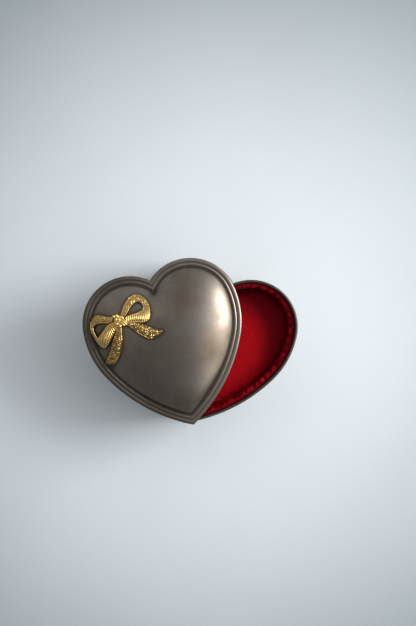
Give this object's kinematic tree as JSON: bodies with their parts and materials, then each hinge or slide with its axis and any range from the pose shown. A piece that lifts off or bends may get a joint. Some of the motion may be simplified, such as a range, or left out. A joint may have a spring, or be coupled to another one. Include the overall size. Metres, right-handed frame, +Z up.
{
  "type": "music box",
  "caption": "Heart-shaped metal trinket music box with a domed lid that swings sideways on a pin, a cast ribbon bow, a satin-lined tray and a key-wound movement under a false floor.",
  "frame": {"origin": "on the table under the middle of the whole object, with the lid swung open as it rests", "axes": "+Z up; the heart box points along Y, its notch at +Y and its tip at -Y; the lid swings out towards -X"},
  "size_m": [0.1258, 0.0964, 0.0596],
  "materials": {
    "aged_silver_plate": "old silver plate on cast base metal, dulled and faintly pitted",
    "gilt_metal": "cast, gold-toned, hammered texture",
    "red_satin": "ribbed red satin",
    "card": "plain stiff card",
    "cast_zinc": "plain cast metal",
    "steel": "bright steel",
    "brass": "plain turned brass",
    "white_plastic": "moulded"
  },
  "bodies": {
    "box": {"box_wall": "aged_silver_plate", "bottom_plate": "aged_silver_plate", "bottom_screw_1": "steel", "bottom_screw_2": "steel", "bottom_screw_3": "steel", "bottom_screw_4": "steel", "pivot_post": "brass", "false_floor": "card", "wall_lining": "red_satin", "floor_pad": "red_satin", "bedplate": "cast_zinc", "movement_screw_1": "steel", "movement_screw_2": "steel", "movement_screw_3": "steel", "spring_cup": "steel", "cup_screw_1": "steel", "cup_screw_2": "steel", "mainspring": "steel", "comb": "steel", "comb_screw_1": "steel", "comb_screw_2": "steel", "governor_bracket": "cast_zinc"},
    "lid": {"lid_shell": "aged_silver_plate", "ribbon_bow": "gilt_metal", "lid_stop_peg": "aged_silver_plate", "pivot_rod": "steel", "pivot_washer": "brass", "pivot_nut": "brass"},
    "winder": {"winding_arbor": "steel", "great_wheel": "brass", "ratchet_spring": "steel", "winding_key": "steel"},
    "cylinder": {"pinned_cylinder": "brass", "cylinder_spindle": "steel", "cylinder_pinion": "brass", "cylinder_wheel": "brass"},
    "second_mobile": {"second_spindle": "steel", "second_pinion": "brass", "second_wheel": "brass"},
    "worm_wheel_mobile": {"worm_spindle": "steel", "worm_pinion": "brass", "worm_wheel": "white_plastic"},
    "governor": {"governor_worm": "steel", "governor_fan": "white_plastic"}
  },
  "joints": [
    {"name": "lid_swing", "type": "hinge", "parent": "box", "child": "lid", "pos_m": [0.01583, -0.03907, 0.044], "axis": [0, 0, 1], "range_deg": [-36.3, 107]},
    {"name": "cylinder_spin", "type": "hinge", "parent": "box", "child": "cylinder", "pos_m": [0.02799, 0.00023, 0.018], "axis": [1, 0, 0], "continuous": true},
    {"name": "key_turn", "type": "hinge", "parent": "box", "child": "winder", "pos_m": [0.00553, 0.00023, 0.0106], "axis": [0, 0, 1], "continuous": true},
    {"name": "second_wheel_spin", "type": "hinge", "parent": "box", "child": "second_mobile", "pos_m": [0.04063, 0.00869, 0.01919], "axis": [1, 0, 0], "continuous": true},
    {"name": "worm_wheel_spin", "type": "hinge", "parent": "box", "child": "worm_wheel_mobile", "pos_m": [0.04063, 0.01522, 0.01615], "axis": [1, 0, 0], "continuous": true},
    {"name": "governor_spin", "type": "hinge", "parent": "box", "child": "governor", "pos_m": [0.03995, 0.02062, 0.01818], "axis": [0, 0, 1], "continuous": true}
  ],
  "couplings": [
    {"joint": "key_turn", "follows": "cylinder_spin", "ratio": -0.33333},
    {"joint": "second_wheel_spin", "follows": "cylinder_spin", "ratio": -3.75},
    {"joint": "worm_wheel_spin", "follows": "cylinder_spin", "ratio": 11.25},
    {"joint": "governor_spin", "follows": "cylinder_spin", "ratio": -202.5}
  ]
}
